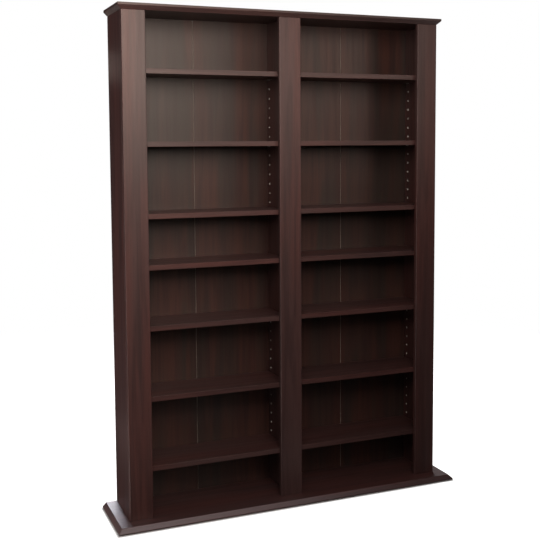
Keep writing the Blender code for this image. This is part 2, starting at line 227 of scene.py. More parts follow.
def blended(tree, factor, first, second):
    """Mixes two colours by a factor. The node's colour inputs are its sixth and seventh."""
    return add_node(tree, "ShaderNodeMix", {0: factor, 6: first, 7: second}, data_type="RGBA").outputs[2]


def maths(tree, operation, *values):
    """Does one step of arithmetic on numbers and on the outputs of other nodes."""
    return add_node(tree, "ShaderNodeMath", dict(enumerate(values)), operation=operation).outputs[0]


def between(tree, value, low, high, start=0.0, end=1.0):
    """Stretches the part of a value between low and high to a new range, with soft ends."""
    sockets = {"Value": value, "From Min": low, "From Max": high, "To Min": start, "To Max": end}
    return add_node(tree, "ShaderNodeMapRange", sockets, interpolation_type="SMOOTHSTEP").outputs["Result"]


def own_place(tree):
    """Places on the piece, in metres along its own axes."""
    return add_node(tree, "ShaderNodeTexCoord").outputs["Object"]


def noise(tree, place, scale, detail=2.0, distortion=0.0):
    """A cloudy pattern between nought and one."""
    sockets = {"Vector": place, "Scale": scale, "Detail": detail, "Distortion": distortion}
    return add_node(tree, "ShaderNodeTexNoise", sockets).outputs["Fac"]


def relief(tree, shader, height, strength, distance):
    """Gives a surface a fine relief, which follows a height."""
    bump = add_node(tree, "ShaderNodeBump", {"Height": height, "Strength": strength, "Distance": distance})
    tree.links.new(bump.outputs["Normal"], shader.inputs["Normal"])


def new_group(name, inputs, outputs):
    """Starts a shader node group with named inputs and outputs, and gives its tree and its two end nodes."""
    tree = bpy.data.node_groups.new(name, "ShaderNodeTree")
    for way, sockets in (("INPUT", inputs), ("OUTPUT", outputs)):
        for label, kind in sockets:
            tree.interface.new_socket(label, in_out=way, socket_type=kind)
    return tree, tree.nodes.new("NodeGroupInput"), tree.nodes.new("NodeGroupOutput")


# Each layer of the printed grain: its stretch along the grain, scale, detail, distortion and range kept.
PRINT_LAYERS = {
    "bands": (0.10, 11.0, 3.0, 0.8, 0.36, 0.64),
    "rings": (0.045, 34.0, 3.0, 1.6, 0.40, 0.70),
    "streaks": (0.02, 120.0, 4.0, 0.5, 0.36, 0.72),
    "fibres": (0.02, 900.0, 1.0, 0.0, 0.30, 0.70),
    "pores": (0.03, 620.0, 1.0, 0.0, 0.60, 0.70),
}
RING_SHADE = 0.46
STREAK_SHADE = 0.20
FIBRE_SHADE = 0.12
PORE_SHADE = 0.35
PORE_DEPTH = 0.7
STREAK_HEIGHT = 0.15


def wood_print_group():
    """The printed grain of the foil, which runs along the group's Z.

    Broad bands shift the ground between brown and red-brown, flowing growth lines and fine streaks darken it,
    and short pores are printed and pressed in.
    """
    colour, number, vector = "NodeSocketColor", "NodeSocketFloat", "NodeSocketVector"
    inputs = [("Vector", vector), ("Ground", colour), ("Warm", colour), ("Deep", colour)]
    outputs = [("Colour", colour), ("Roughness", number), ("Height", number)]
    tree, given, result = new_group("wood print", inputs, outputs)
    layer = {}
    for name, (stretch, scale, detail, distortion, low, high) in PRINT_LAYERS.items():
        drawn_out = {"Vector": given.outputs["Vector"], "Scale": (1.0, 1.0, stretch)}
        place = add_node(tree, "ShaderNodeMapping", drawn_out).outputs[0]
        layer[name] = between(tree, noise(tree, place, scale, detail, distortion), low, high)

    ground = blended(tree, layer["bands"], given.outputs["Ground"], given.outputs["Warm"])
    shade = maths(tree, "MULTIPLY", layer["rings"], RING_SHADE)
    shade = maths(tree, "MULTIPLY_ADD", layer["streaks"], STREAK_SHADE, shade)
    shade = maths(tree, "MULTIPLY_ADD", layer["fibres"], FIBRE_SHADE, shade)
    lined = blended(tree, shade, ground, given.outputs["Deep"])
    pored = maths(tree, "MULTIPLY", layer["pores"], PORE_SHADE)
    tree.links.new(blended(tree, pored, lined, given.outputs["Deep"]), result.inputs["Colour"])
    tree.links.new(between(tree, layer["streaks"], 0.0, 1.0), result.inputs["Roughness"])
    height = maths(tree, "MULTIPLY_ADD", layer["pores"], -PORE_DEPTH, 1.0)
    height = maths(tree, "MULTIPLY_ADD", layer["streaks"], STREAK_HEIGHT, height)
    tree.links.new(height, result.inputs["Height"])
    return tree


WOOD_PRINT = wood_print_group()
FOIL_GROUND = (0.070, 0.034, 0.032, 1.0)
FOIL_WARM = (0.089, 0.032, 0.028, 1.0)
FOIL_DEEP = (0.028, 0.013, 0.013, 1.0)
SATIN_ROUGHNESS = (0.385, 0.425)
SATIN_GLOSS = 0.41
WARM_GLOSS = (1.0, 0.92, 0.86, 1.0)


def new_material(name):
    """Starts a material and gives it with its node tree and its Principled shader."""
    material = bpy.data.materials.new(name)
    material.use_nodes = True
    return material, material.node_tree, material.node_tree.nodes["Principled BSDF"]


def foil(name, grain, shift, ground=FOIL_GROUND, warm=FOIL_WARM, gloss=SATIN_GLOSS, tint=WARM_GLOSS):
    """Dark satin wood-grain foil, its grain turned and shifted so that no two boards have the same figure."""
    material, tree, shader = new_material(name)
    laid = {"Vector": own_place(tree), "Location": shift, "Rotation": grain}
    place = add_node(tree, "ShaderNodeMapping", laid).outputs[0]
    sockets = {"Vector": place, "Ground": ground, "Warm": warm, "Deep": FOIL_DEEP}
    printed = add_node(tree, "ShaderNodeGroup", sockets, node_tree=WOOD_PRINT).outputs
    tree.links.new(printed["Colour"], shader.inputs["Base Color"])
    rough = between(tree, printed["Roughness"], 0.0, 1.0, *SATIN_ROUGHNESS)
    tree.links.new(rough, shader.inputs["Roughness"])
    relief(tree, shader, printed["Height"], strength=0.25, distance=0.0002)
    shader.inputs["Specular IOR Level"].default_value = gloss
    shader.inputs["Specular Tint"].default_value = tint
    return material


def chipboard(name, dark, pale):
    """The raw core of a board where it isn't wrapped: pressed flakes of pale and darker wood."""
    material, tree, shader = new_material(name)
    place = own_place(tree)
    flakes = add_node(tree, "ShaderNodeTexVoronoi", {"Vector": place, "Scale": 520.0}).outputs
    tone = add_node(tree, "ShaderNodeSeparateColor", {"Color": flakes["Color"]}).outputs["Red"]
    tone = between(tree, maths(tree, "MULTIPLY", tone, noise(tree, place, 1500.0)), 0.05, 0.6)
    tree.links.new(blended(tree, tone, dark, pale), shader.inputs["Base Color"])
    shader.inputs["Roughness"].default_value = 0.85
    shader.inputs["Specular IOR Level"].default_value = 0.25
    relief(tree, shader, flakes["Distance"], strength=0.6, distance=0.0004)
    return material


CHIPBOARD = chipboard("raw chipboard", (0.20, 0.115, 0.06, 1.0), (0.56, 0.40, 0.25, 1.0))


def groove_cutters():
    """One box for each column, a gap wider than the two leaves of its back."""
    cutters = []
    for column, first, last in (("left", "outer", "inner"), ("right", "inner", "outer")):
        low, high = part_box(f"{column}_back_{first}_leaf")[0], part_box(f"{column}_back_{last}_leaf")[1]
        cutters.append(block(low - Vector((FIT,) * 3), high + Vector((FIT,) * 3)))
    return cutters


def long_axis(low, high):
    """Names the axis along which a box is longest."""
    return max("xyz", key=lambda name: getattr(high - low, name))


def bores(*nodes):
    """A round hole for each dowel, a gap wider and longer than the dowel."""
    cutters = []
    for node in nodes:
        low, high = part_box(node)
        axis = long_axis(low, high)
        length = getattr(high - low, axis) + 2 * FIT
        radius = min(high - low) / 2 + FIT
        outline = [(0, -length / 2), (radius, -length / 2), (radius, length / 2), (0, length / 2)]
        loops = turned(outline, around=16, centre=(low + high) / 2, axis=axis)
        cutters.append(skin("bore", loops))
    return cutters


SCREWS = [f"{place}_base_screw_{row}" for place in ("left", "centre", "right") for row in ("front", "rear")]
SCREW_RIM = 0.0005
SCREW_NECK = 0.003
SHANK_SHARE = 0.5
SCREW_HOLE_START = -0.002


def screw_holes():
    """A countersunk hole for each base screw, a gap larger than the screw and open at the underside."""
    cutters = []
    for node in SCREWS:
        low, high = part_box(node)
        head, length = (high.x - low.x) / 2 + FIT, high.z - low.z + FIT
        shank = head * SHANK_SHARE
        outline = [(0, SCREW_HOLE_START), (head, SCREW_HOLE_START), (head, SCREW_RIM), (shank, SCREW_NECK),
                   (shank, length), (0, length)]
        centre = ((low.x + high.x) / 2, (low.y + high.y) / 2, low.z)
        cutters.append(skin("screw hole", turned(outline, around=32, centre=centre)))
    return cutters


BASE_GLOSS = 0.9
BASE_GLOSS_TINT = (1.0, 0.96, 1.0, 1.0)
low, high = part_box("base_board")
thickness = high.z - low.z
bevel = thickness - BASE_LIP
base_profile = filleted([(MITRE_RUN, 0), (0, 0), (0, BASE_LIP), (bevel, thickness), (MITRE_RUN, thickness)],
                        WRAPPED_ROUNDING)
base_mesh = skin("base_board", board_loops(low, high, base_profile, CORNER_ROUNDING))
face_index(base_mesh, 1, axis=1, sign=1)
base_mesh = carve(base_mesh, groove_cutters())
base_mesh = carve(base_mesh, screw_holes())
base_foil = foil("base foil", GRAIN_ALONG_X, (0.31, 0.47, 0.2), gloss=BASE_GLOSS, tint=BASE_GLOSS_TINT)
finished("base_board", base_mesh, "wood_foil", base_foil, CHIPBOARD)


# Base screws
# Six zinc-plated countersunk screws, driven up through the base board into the feet of the uprights. The head
# has a cross recess and sits a little below the board's underside; the thread starts above the neck.
def metal(name, colour, rough):
    """Plated steel: bright, a little uneven in its colour, its gloss and its surface."""
    material, tree, shader = new_material(name)
    worn = noise(tree, own_place(tree), 900.0, 4.0)
    tree.links.new(between(tree, worn, 0.3, 0.7, rough - 0.08, rough + 0.1), shader.inputs["Roughness"])
    dull = tuple(0.78 * part for part in colour[:3]) + (1.0,)
    tree.links.new(blended(tree, between(tree, worn, 0.35, 0.75), colour, dull), shader.inputs["Base Color"])
    shader.inputs["Metallic"].default_value = 1.0
    relief(tree, shader, worn, strength=0.15, distance=0.0001)
    return material


THREAD_PITCH = 0.0018
THREAD_DEPTH = 0.0005
THREAD_START = 0.010
RECESS_ARM = 0.0006
RECESS_WALL = 0.00024
RECESS_REACH = 0.0024
RECESS_END = 0.001
RECESS_DEPTH = 0.0017
POINT_LENGTH = 0.004
FACE_RINGS = 17
SHANK_RINGS = 160
SCREW_AROUND = 48


def screw_loops(node):
    """A countersunk screw with its head down.

    The head's face is rings of points pushed up inside a cross: its depth fades over the arm's half width and
    towards the arm's end. The shank is a circle whose radius drops by the thread's depth times the share of a
    pitch that has passed, so that the crest climbs as a helix.
    """
    low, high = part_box(node)
    head, length = (high.x - low.x) / 2, high.z - low.z
    shank = head * SHANK_SHARE
    angle = np.arange(SCREW_AROUND) * 2 * math.pi / SCREW_AROUND
    radius = np.linspace(0, head, FACE_RINGS)[:, None]
    x, y = radius * np.cos(angle), radius * np.sin(angle)
    near, far = np.minimum(abs(x), abs(y)), np.maximum(abs(x), abs(y))
    across = np.clip((RECESS_ARM - near) / RECESS_WALL, 0, 1)
    along = np.clip((RECESS_REACH - far) / RECESS_END, 0, 1)
    face = np.stack([x, y, RECESS_DEPTH * across * along], axis=-1)
    rings = np.linspace(SCREW_NECK + FIT, length - FIT, SHANK_RINGS)
    height = np.concatenate([[SCREW_RIM, SCREW_NECK], rings, [length]])
    stations = [SCREW_RIM, SCREW_NECK, length - POINT_LENGTH, length]
    outline = np.interp(height, stations, [head, shank, shank, 0])
    stations = [THREAD_START, THREAD_START + THREAD_PITCH, length - FIT, length]
    threaded = np.interp(height, stations, [0, 1, 1, 0])
    passed = (height[:, None] / THREAD_PITCH - angle / (2 * math.pi)) % 1.0
    groove = THREAD_DEPTH * threaded[:, None] * (1 - abs(2 * passed - 1)) * (outline / shank)[:, None]
    body = outline[:, None] - np.clip(groove, 0, outline[:, None])
    z = np.repeat(height, SCREW_AROUND).reshape(body.shape)
    side = np.stack([body * np.cos(angle), body * np.sin(angle), z], axis=-1)
    return np.concatenate([face, side]) + np.array([(low.x + high.x) / 2, (low.y + high.y) / 2, low.z])


ZINC = metal("bright zinc", (0.62, 0.61, 0.58, 1.0), 0.32)
for node in SCREWS:
    finished(node, skin(node, screw_loops(node)), "screw_steel", ZINC)


# Glides
# Six hard plastic pads under the base board, nailed on near its corners and under its middle. They hold the
# board 3 mm off the floor. The thin dark line under it is the shade in that gap, widened by a painted contact
# shadow: the floor's glow is taken away under the base and in a narrow band round it.
def hard_plastic():
    """Moulded black plastic with a fine spark-eroded texture and light scuffs."""
    material, tree, shader = new_material("glide plastic")
    place = own_place(tree)
    scuffs = noise(tree, place, 180.0, 5.0)
    black, grey = (0.012, 0.011, 0.011, 1.0), (0.035, 0.032, 0.03, 1.0)
    tree.links.new(blended(tree, between(tree, scuffs, 0.5, 0.8), black, grey), shader.inputs["Base Color"])
    tree.links.new(between(tree, scuffs, 0.3, 0.8, 0.38, 0.6), shader.inputs["Roughness"])
    relief(tree, shader, noise(tree, place, 2400.0), strength=0.3, distance=0.0001)
    return material


GLIDE_ROUNDING = 0.0008
GLIDE_DISH = 0.0035
GLIDE_DISH_FLOOR = 0.0021
GLIDE_DISH_DEPTH = 0.0009
PLASTIC = hard_plastic()
for place in ("left", "centre", "right"):
    for row in ("front", "rear"):
        node = f"{place}_glide_{row}"
        low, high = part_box(node)
        radius, depth = (high.x - low.x) / 2, high.z - low.z
        outline = filleted([(0, GLIDE_DISH_DEPTH), (GLIDE_DISH_FLOOR, GLIDE_DISH_DEPTH), (GLIDE_DISH, 0),
                            (radius, 0), (radius, depth), (0, depth)], GLIDE_ROUNDING)
        outline = [(0, GLIDE_DISH_DEPTH), *outline.tolist(), (0, depth)]
        centre = ((low.x + high.x) / 2, (low.y + high.y) / 2, low.z)
        loops = turned(outline, around=48, centre=centre)
        finished(node, skin(node, loops), "glide_plastic", PLASTIC)


# Uprights
# Two side panels and a partition, 16 mm foil-faced boards with raw rear edges and grooves for the back. Two
# rows of 5 mm holes, 32 mm apart, run down each: blind in the panels, right through in the partition.
HOLE_PITCH = 0.032
PIN_RADIUS = 0.0024
BLIND_DEPTH = 0.010
HOLE_CHAMFER = 0.0008
LOOSE_SHELVES = (1, 2, 3, 5, 6, 7)
FIXED_SHELF = 4
BANKS = ((7, 5), (3, 1))
UPRIGHTS = {"left": "left_side_panel", "centre": "centre_partition", "right": "right_side_panel"}
INNER_FACES = {"left": (1,), "centre": (-1, 1), "right": (-1,)}
COLUMN_AT = {("left", 1): "left", ("centre", -1): "left", ("centre", 1): "right", ("right", -1): "right"}


def inner_face(place, side):
    """The X of an upright's inner face, a gap away from the end of the fixed shelf that it holds."""
    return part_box(f"{COLUMN_AT[place, side]}_fixed_shelf")[0 if side > 0 else 1].x - side * FIT


def upright_box(place):
    """The box of an upright's board, without the pins that stand out of it and are in its node's box."""
    low, high = (corner.copy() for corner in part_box(UPRIGHTS[place]))
    for side in INNER_FACES[place]:
        (high if side > 0 else low).x = inner_face(place, side)
    return low, high


def seat(number):
    """The height of the pins under a loose shelf."""
    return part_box(f"left_shelf_{number}")[0].z - FIT


def row_depths():
    """The front and the rear row of holes stand in line with the top dowels."""
    return [sum(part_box(f"left_top_dowel_{row}"), Vector()).y / 2 for row in ("front", "rear")]


def hole_heights():
    """Each bank runs up from the lowest loose shelf's pins to the highest's, one hole each pitch."""
    banks = []
    for lowest, highest in BANKS:
        count = 1 + round((seat(highest) - seat(lowest)) / HOLE_PITCH)
        banks.append(seat(lowest) + HOLE_PITCH * np.arange(count))
    return np.concatenate(banks)


def shelf_holes(place):
    """The bored rows of one upright: plain round holes with a broken rim at each open face."""
    low, high = upright_box(place)
    sides = INNER_FACES[place]
    start = high.x if sides[0] > 0 else low.x
    through = len(sides) == 2
    depth = high.x - low.x if through else BLIND_DEPTH
    radius = PIN_RADIUS + FIT
    outside = HOLE_CHAMFER + FIT
    profile = [(0, -FIT), (radius + outside, -FIT), (radius, HOLE_CHAMFER)]
    if through:
        profile += [(radius, depth - HOLE_CHAMFER), (radius + outside, depth + FIT), (0, depth + FIT)]
    else:
        profile += [(radius, depth), (0, depth)]
    profile = np.array(profile) * (1, -sides[0])
    return [skin("shelf hole", turned(profile, around=20, centre=(start, y, z), axis="x"))
            for y in row_depths() for z in hole_heights()]


DOWELS = [name for name in sorted(frame["nodes"]) if "dowel" in name]
# The shelf-pin holes are raw chipboard inside, but painted near white, far paler than chipboard: painted
# light, so the rows show as light dots.
HOLE_WALLS_PAINTED_LIGHT = chipboard("bored rim painted light", (0.58, 0.54, 0.48, 1.0), (0.84, 0.82, 0.78, 1.0))
for turn, (place, node) in enumerate(UPRIGHTS.items()):
    mesh = plain_board(node, box=upright_box(place))
    face_index(mesh, 1, axis=1, sign=1)
    mesh = carve(mesh, groove_cutters())
    mesh = carve(mesh, shelf_holes(place), index=2)
    mesh = carve(mesh, bores(*[name for name in DOWELS if name.startswith(place)]))
    mesh = carve(mesh, [hole for name, hole in zip(SCREWS, screw_holes()) if name.startswith(place)])
    shift = (0.13 + 0.37 * turn, 0.29 * turn, 0.11 + 0.23 * turn)
    finished(node, mesh, "wood_foil", foil(f"{node} foil", GRAIN_ALONG_Z, shift), CHIPBOARD, HOLE_WALLS_PAINTED_LIGHT)


# Shelf pins
# Nickel-plated steel pins, four under each loose shelf. The shank is round where it sits in its hole; where
# it stands out of the upright its upper half is cut away, and the shelf rests on the flat.
PIN_PROUD = 0.008
PIN_TIP = 0.0004
PIN_AROUND = 24
PARTITION_PIN_DEPTH = 0.0078
NICKEL = metal("bright nickel", (0.66, 0.64, 0.60, 1.0), 0.25)


def pin_loops(inner, outer, side, y, z):
    """A bar along X from inside the board to its tip. Each loop is a circle, cut off above the flat.

    The radius shrinks at the tip by a quarter circle, and the cut runs from the full radius in the hole down
    to the axis outside it.
    """
    reach = abs(outer - inner)
    face = reach - PIN_PROUD
    quarter = np.linspace(0, math.pi / 2, 4)
    along = np.concatenate([[0.0, 0.0, face, face], reach - PIN_TIP + PIN_TIP * np.sin(quarter), [reach]])
    radius = np.concatenate([[0.0], [PIN_RADIUS] * 3, PIN_RADIUS - PIN_TIP * (1 - np.cos(quarter)), [0.0]])
    flat = np.concatenate([[PIN_RADIUS] * 3, [0.0] * (len(along) - 3)])
    angle = np.arange(PIN_AROUND) * 2 * math.pi / PIN_AROUND
    across = radius[:, None] * np.cos(angle)
    up = np.minimum(radius[:, None] * np.sin(angle), flat[:, None])
    out = np.repeat(inner + side * along, PIN_AROUND).reshape(across.shape)
    return np.stack([out, y + across, z + up], axis=-1)


def joined(name, meshes):
    """Puts separate closed shapes into one mesh."""
    shape = bmesh.new()
    for mesh in meshes:
        shape.from_mesh(mesh)
    whole = bpy.data.meshes.new(name)
    shape.to_mesh(whole)
    shape.free()
    return whole


for place, node in UPRIGHTS.items():
    pins = []
    for side in INNER_FACES[place]:
        face = inner_face(place, side)
        inner = face - side * (PARTITION_PIN_DEPTH if place == "centre" else BLIND_DEPTH - FIT)
        for number in LOOSE_SHELVES:
            for y in row_depths():
                pins.append(skin("pin", pin_loops(inner, face + side * PIN_PROUD, side, y, seat(number))))
    mesh = joined(f"{place}_pins", pins)
    mesh.materials.append(NICKEL)
    mesh.shade_smooth()
    mesh.set_sharp_from_angle(angle=CREASE)
    piece = bpy.data.objects.new(f"{node}_shelf_pins", mesh)
    bpy.context.scene.collection.objects.link(piece)
    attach(piece, "carcass")


# Stiles
# Three wide facing boards on the front edges of the uprights, doweled and glued. Their long edges are rounded
# before they are wrapped and catch a thin line of light; down the left-facing edges this line is mostly a
# painted highlight, the reflection of a glowing card on the floor.
STILE_ROUNDING = 0.0022
for turn, place in enumerate(UPRIGHTS):
    node = f"{place}_stile"
    mesh = plain_board(node, STILE_ROUNDING)
    mesh = carve(mesh, bores(f"{place}_stile_dowel_lower", f"{place}_stile_dowel_upper"))
    shift = (0.71 - 0.29 * turn, 0.17 * turn, 0.05 + 0.31 * turn)
    finished(node, mesh, "wood_foil", foil(f"{node} foil", GRAIN_ALONG_Z, shift), CHIPBOARD)


# Shelves
# One fixed shelf in each column, doweled between the uprights at half height, and six loose ones on pins. All
# are 16 mm boards with foil faces and banded front edges, and their rear edges stay raw.
for side, column in enumerate(("left", "right")):
    for number in sorted((FIXED_SHELF, *LOOSE_SHELVES)):
        node = f"{column}_fixed_shelf" if number == FIXED_SHELF else f"{column}_shelf_{number}"
        mesh = plain_board(node)
        face_index(mesh, 1, axis=1, sign=1)
        if number == FIXED_SHELF:
            held_by = [name for name in DOWELS if "fixed" in name and name.startswith((column, "centre"))]
            mesh = carve(mesh, bores(*held_by))
        shift = (0.19 * number, 0.23 * number + 0.41 * side, 0.37 * number + 0.13 * side)
        finished(node, mesh, "wood_foil", foil(f"{node} foil", GRAIN_ALONG_X, shift), CHIPBOARD)


# Back
# Four leaves of 3 mm hardboard, two behind each column, slid into the grooves, printed with the same grain
# in front and bare brown behind. The joint of two leaves is a fine line, with brown tape over it behind.
def hardboard():
    """Bare pressed fibreboard: brown, with darker fibres and the faint mesh of the press on it."""
    material, tree, shader = new_material("bare hardboard")
    place = own_place(tree)
    cloud = between(tree, noise(tree, place, 35.0, 6.0), 0.35, 0.65)
    fibre = noise(tree, place, 700.0, 3.0, 1.5)
    colour = blended(tree, cloud, (0.24, 0.138, 0.070, 1.0), (0.275, 0.16, 0.082, 1.0))
    colour = blended(tree, between(tree, fibre, 0.52, 0.70), colour, (0.12, 0.065, 0.035, 1.0))
    tree.links.new(colour, shader.inputs["Base Color"])
    shader.inputs["Roughness"].default_value = 0.8
    shader.inputs["Specular IOR Level"].default_value = 0.25
    pressed = {"Vector": place, "Scale": 160.0}
    mesh_lines = add_node(tree, "ShaderNodeTexWave", pressed, bands_direction="DIAGONAL").outputs["Fac"]
    relief(tree, shader, maths(tree, "ADD", mesh_lines, fibre), strength=0.35, distance=0.0002)
    return material


HARDBOARD = hardboard()
LEAF_EDGE = chipboard("leaf edge", (0.24, 0.195, 0.165, 1.0), (0.30, 0.25, 0.215, 1.0))
BACK_GROUND = (0.034, 0.024, 0.020, 1.0)
BACK_WARM = (0.062, 0.025, 0.019, 1.0)
BACK_GLOSS = 0.40
LEAF_EASING = 0.0013
LEAVES = (("left", "outer"), ("left", "inner"), ("right", "inner"), ("right", "outer"))


def upright_sheet(node, easing):
    """A thin sheet: the outline of its upper edge, with long edges eased by quarter circles, carried down."""
    low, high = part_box(node)
    middle = (low.x + high.x) / 2
    outline = filleted([(middle, high.y), (low.x, high.y), (low.x, low.y), (high.x, low.y), (high.x, high.y),
                        (middle, high.y)], easing)
    ends = [np.column_stack([outline, np.full(len(outline), z)]) for z in (low.z, high.z)]
    return skin(node, np.stack(ends))


for turn, (column, part) in enumerate(LEAVES):
    node = f"{column}_back_{part}_leaf"
    mesh = upright_sheet(node, LEAF_EASING)
    for index, axis, sign in ((1, 1, 1), (2, 0, 1), (2, 0, -1)):
        face_index(mesh, index, axis, sign)
    shift = (0.43 * turn, 0.1, 0.61 * turn)
    printed = foil(f"{node} print", GRAIN_ALONG_Z, shift, BACK_GROUND, BACK_WARM, BACK_GLOSS)
    finished(node, mesh, "back_board", printed, HARDBOARD, LEAF_EDGE)


def paper_tape(name, dark, pale):
    """Brown gummed paper tape: matt, with faint long creases and cockles."""
    material, tree, shader = new_material(name)
    drawn_out = {"Vector": own_place(tree), "Scale": (1.0, 1.0, 0.15)}
    crease = noise(tree, add_node(tree, "ShaderNodeMapping", drawn_out).outputs[0], 120.0, 4.0)
    tree.links.new(blended(tree, between(tree, crease, 0.3, 0.7), dark, pale), shader.inputs["Base Color"])
    tree.links.new(between(tree, crease, 0.3, 0.7, 0.45, 0.62), shader.inputs["Roughness"])
    relief(tree, shader, crease, strength=0.4, distance=0.0004)
    return material


TAPE_EASING = 0.0002
TAPE = paper_tape("brown tape", (0.30, 0.18, 0.095, 1.0), (0.36, 0.23, 0.13, 1.0))
GUMMED_SIDE = paper_tape("gummed side of the tape", (0.10, 0.083, 0.07, 1.0), (0.13, 0.11, 0.095, 1.0))
for column in ("left", "right"):
    node = f"{column}_back_tape"
    mesh = upright_sheet(node, TAPE_EASING)
    face_index(mesh, 1, axis=1, sign=-1)
    finished(node, mesh, "joint_tape", TAPE, GUMMED_SIDE)


# Dowels
# Fluted beech dowels, 8 mm across, glued into the stiles, the top board and the fixed shelves. They are out
# of sight once the shelf stands.
DOWEL_FLUTES = 12
POINTS_A_FLUTE = 6
FLUTE_DEPTH = 0.0003
DOWEL_CHAMFER = 0.0012


def beech():
    """Turned beech: pale, with fine darker flecks."""
    material, tree, shader = new_material("beech")
    flecks = noise(tree, own_place(tree), 900.0, 3.0)
    pale, dark = (0.62, 0.43, 0.26, 1.0), (0.42, 0.26, 0.14, 1.0)
    tree.links.new(blended(tree, between(tree, flecks, 0.5, 0.7), pale, dark), shader.inputs["Base Color"])
    shader.inputs["Roughness"].default_value = 0.7
    relief(tree, shader, flecks, strength=0.3, distance=0.0002)
    return material


def dowel_loops(node):
    """A bar with chamfered ends, whose radius dips in a rounded wave round it between the flutes."""
    low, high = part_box(node)
    axis = long_axis(low, high)
    half, radius = getattr(high - low, axis) / 2, min(high - low) / 2
    height = np.array([-half, -half, -half + DOWEL_CHAMFER, half - DOWEL_CHAMFER, half, half])
    size = radius - np.array([radius, DOWEL_CHAMFER, 0.0, 0.0, DOWEL_CHAMFER, radius])
    count = DOWEL_FLUTES * POINTS_A_FLUTE
    angle = np.arange(count) * 2 * math.pi / count
    dip = FLUTE_DEPTH * np.sin(angle * DOWEL_FLUTES / 2) ** 2
    around = np.clip(size[:, None] - dip, 0, None) * (size[:, None] > 0)
    z = np.repeat(height, count).reshape(around.shape)
    flat = np.stack([around * np.cos(angle), around * np.sin(angle), z], axis=-1)
    return along_axis(flat, axis) + np.array((low + high) / 2)


BEECH = beech()
for node in DOWELS:
    finished(node, skin(node, dowel_loops(node)), "dowel_beech", BEECH)


# Top board
# A 19 mm board that closes the shelf and stands a little over its front and sides. The bevel runs along its
# lower edges here, under a plain lip, like the base board's turned upside down.
TOP_BEVEL = 0.012
TOP_GROUND = (0.066, 0.039, 0.037, 1.0)
TOP_WARM = (0.084, 0.036, 0.030, 1.0)
low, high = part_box("top_board")
thickness = high.z - low.z
top_profile = filleted([(MITRE_RUN, 0), (TOP_BEVEL, 0), (0, TOP_BEVEL), (0, thickness),
                        (MITRE_RUN, thickness)], WRAPPED_ROUNDING)
top_mesh = skin("top_board", board_loops(low, high, top_profile, CORNER_ROUNDING))
face_index(top_mesh, 1, axis=1, sign=1)
top_mesh = carve(top_mesh, groove_cutters())
top_mesh = carve(top_mesh, bores(*[name for name in DOWELS if "top" in name]))
top_foil = foil("top foil", GRAIN_ALONG_X, (0.9, 0.21, 0.6), TOP_GROUND, TOP_WARM)
finished("top_board", top_mesh, "wood_foil", top_foil, CHIPBOARD)


# Studio
# A pale floor that fades into white, and five soft lamps, the key one before the upper left corner. Cards
# that show only in reflections are black, to keep the satin boards dark, or pale, to put sheens on them.
CAMERA_SPOT = (-1.18865, -2.78157, 1.19122)
CAMERA_YAW = math.radians(22.326)
CAMERA_PITCH = math.radians(4.563)
CAMERA_ROLL = math.radians(-0.35)
LENS = 60.53
VERTICAL_SHIFT = -0.0978
FLOOR_HALF = 12.0
FLOOR_FADE = (1.6, 3.2)
FLOOR_GLOW = 0.92
FLOOR_SEEN = 0.85
FLOOR_LIT = 0.25
PAINTED_SHADOW_WIDTH = 0.009
EVEN_LIGHT = 0.06
WARM_LIGHT = (1.0, 0.92, 0.85)
PLAIN_LIGHT = (1.0, 1.0, 1.0)

camera_data = bpy.data.cameras.new("camera")
camera_data.lens, camera_data.shift_y = LENS, VERTICAL_SHIFT
camera = bpy.data.objects.new("camera", camera_data)
bpy.context.scene.collection.objects.link(camera)
turn = (Matrix.Rotation(-CAMERA_YAW, 4, "Z") @ Matrix.Rotation(math.pi / 2 - CAMERA_PITCH, 4, "X")
        @ Matrix.Rotation(CAMERA_ROLL, 4, "Z"))
camera.matrix_world = Matrix.Translation(CAMERA_SPOT) @ turn
bpy.context.scene.camera = camera


def seen_directly(tree):
    """One for what the camera sees, by itself, in a reflection or through glass, and nought for light."""
    path = add_node(tree, "ShaderNodeLightPath").outputs
    seen = maths(tree, "MAXIMUM", path["Is Camera Ray"], path["Is Glossy Ray"])
    return maths(tree, "MAXIMUM", seen, path["Is Transmission Ray"])


world = bpy.data.worlds.new("studio")
bpy.context.scene.world = world
world.use_nodes = True
backdrop = world.node_tree.nodes["Background"]
backdrop.inputs["Color"].default_value = (1.0, 1.0, 1.0, 1.0)
tree = world.node_tree
tree.links.new(between(tree, seen_directly(tree), 0.0, 1.0, EVEN_LIGHT, 1.0), backdrop.inputs["Strength"])

corner = np.array([(-1, -1), (1, -1), (1, 1), (-1, 1)]) * FLOOR_HALF
floor_mesh = bpy.data.meshes.new("floor")
floor_mesh.from_pydata([(x, y, 0.0) for x, y in corner.tolist()], [], [(0, 1, 2, 3)])
floor = bpy.data.objects.new("floor", floor_mesh)
bpy.context.scene.collection.objects.link(floor)
paper, tree, shader = new_material("pale floor")
place = own_place(tree)
away = add_node(tree, "ShaderNodeVectorMath", {0: place}, operation="LENGTH").outputs["Value"]
fade = between(tree, away, *FLOOR_FADE)
